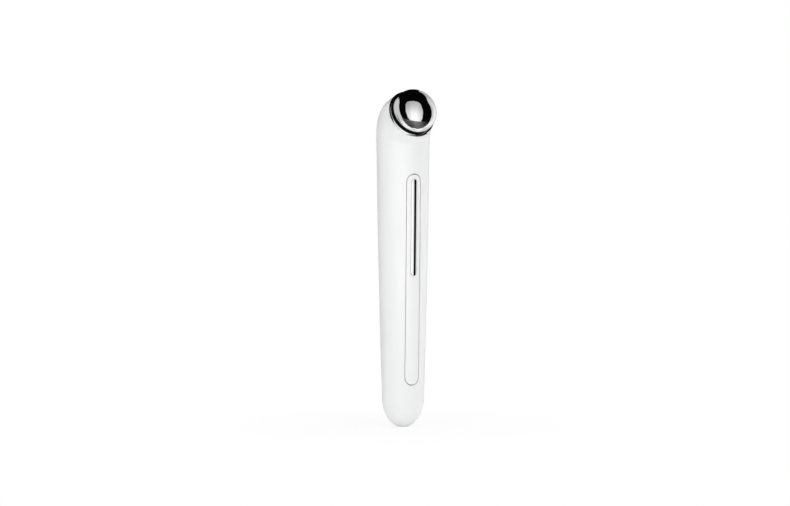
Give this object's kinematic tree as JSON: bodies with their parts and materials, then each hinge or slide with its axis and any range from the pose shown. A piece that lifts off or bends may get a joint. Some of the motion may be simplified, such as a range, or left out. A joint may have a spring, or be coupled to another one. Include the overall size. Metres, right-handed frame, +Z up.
{
  "type": "handheld eye massager",
  "caption": "Pen-shaped eye massager wand with a tilted polished dome head in a stepped ring, and a long front key panel with an inlaid bar.",
  "frame": {"origin": "centre of the small flat on the lower end, on which the wand stands", "axes": "+Z up along the wand, -Y towards the key panel and the head, +X to the right when the key panel is seen from the front"},
  "size_m": [0.025, 0.0293, 0.1512],
  "materials": {
    "gloss_white": "glossy white",
    "key_white": "glossy white",
    "bright_chrome": "mirror polished",
    "trim_chrome": "polished",
    "black_rubber": "matt",
    "frame_plastic": "matt",
    "holder_plastic": "matt heat-proof plastic",
    "board_green": "solder mask over laminate",
    "chip_black": "moulded",
    "steel": "satin",
    "weight_metal": "sintered",
    "cell_wrap": "printed film over metal",
    "foam_grey": "foam",
    "heater_film": "polyimide film",
    "lead_red": "smooth",
    "lead_black": "smooth"
  },
  "bodies": {
    "handle": {"front_shell": "gloss_white", "rear_shell": "gloss_white", "key_hinge_pin": "steel", "main_board": "board_green", "switch_body": "chip_black", "control_chip": "chip_black", "charge_chip": "chip_black", "boost_coil": "chip_black", "chassis_screw_low": "steel", "chassis_screw_high": "steel", "board_screw_low": "steel", "board_screw_high": "steel", "battery_cell": "cell_wrap", "battery_pad": "foam_grey", "motor_can": "steel", "motor_boot": "black_rubber", "socket_shell": "steel", "socket_core": "chip_black", "charging_board": "board_green", "chassis": "frame_plastic", "head_base_ring": "bright_chrome", "collar_seal": "black_rubber", "head_collar_ring": "bright_chrome", "massage_dome": "bright_chrome", "head_holder": "holder_plastic", "heater_disc": "heater_film", "thermistor": "chip_black", "head_screw_left": "steel", "head_screw_right": "steel", "heater_lead_a": "lead_red", "heater_lead_b": "lead_black", "motor_lead_a": "lead_red", "motor_lead_b": "lead_black", "socket_lead_a": "lead_red", "socket_lead_b": "lead_black", "cell_lead_high": "lead_red", "cell_lead_low": "lead_black"},
    "key": {"key_panel": "key_white", "key_bar": "trim_chrome"},
    "plunger": {"switch_plunger": "frame_plastic"},
    "rotor": {"motor_shaft": "steel", "eccentric_weight": "weight_metal"}
  },
  "joints": [
    {"name": "key_press", "type": "hinge", "parent": "handle", "child": "key", "pos_m": [0, -0.0057, 0.1115], "axis": [1, 0, 0], "range_deg": [0, 0.3], "stiffness_Nm_per_rad": 15, "springref_deg": -0.06},
    {"name": "plunger_press", "type": "slide", "parent": "handle", "child": "plunger", "axis": [0, 1, 0], "range_m": [0, 0.00035]},
    {"name": "motor_spin", "type": "hinge", "parent": "handle", "child": "rotor", "pos_m": [0, 0.0025, 0.118], "axis": [0, 0, 1], "continuous": true}
  ],
  "couplings": [
    {"joint": "plunger_press", "follows": "key_press", "m_per_rad": 0.0665}
  ]
}
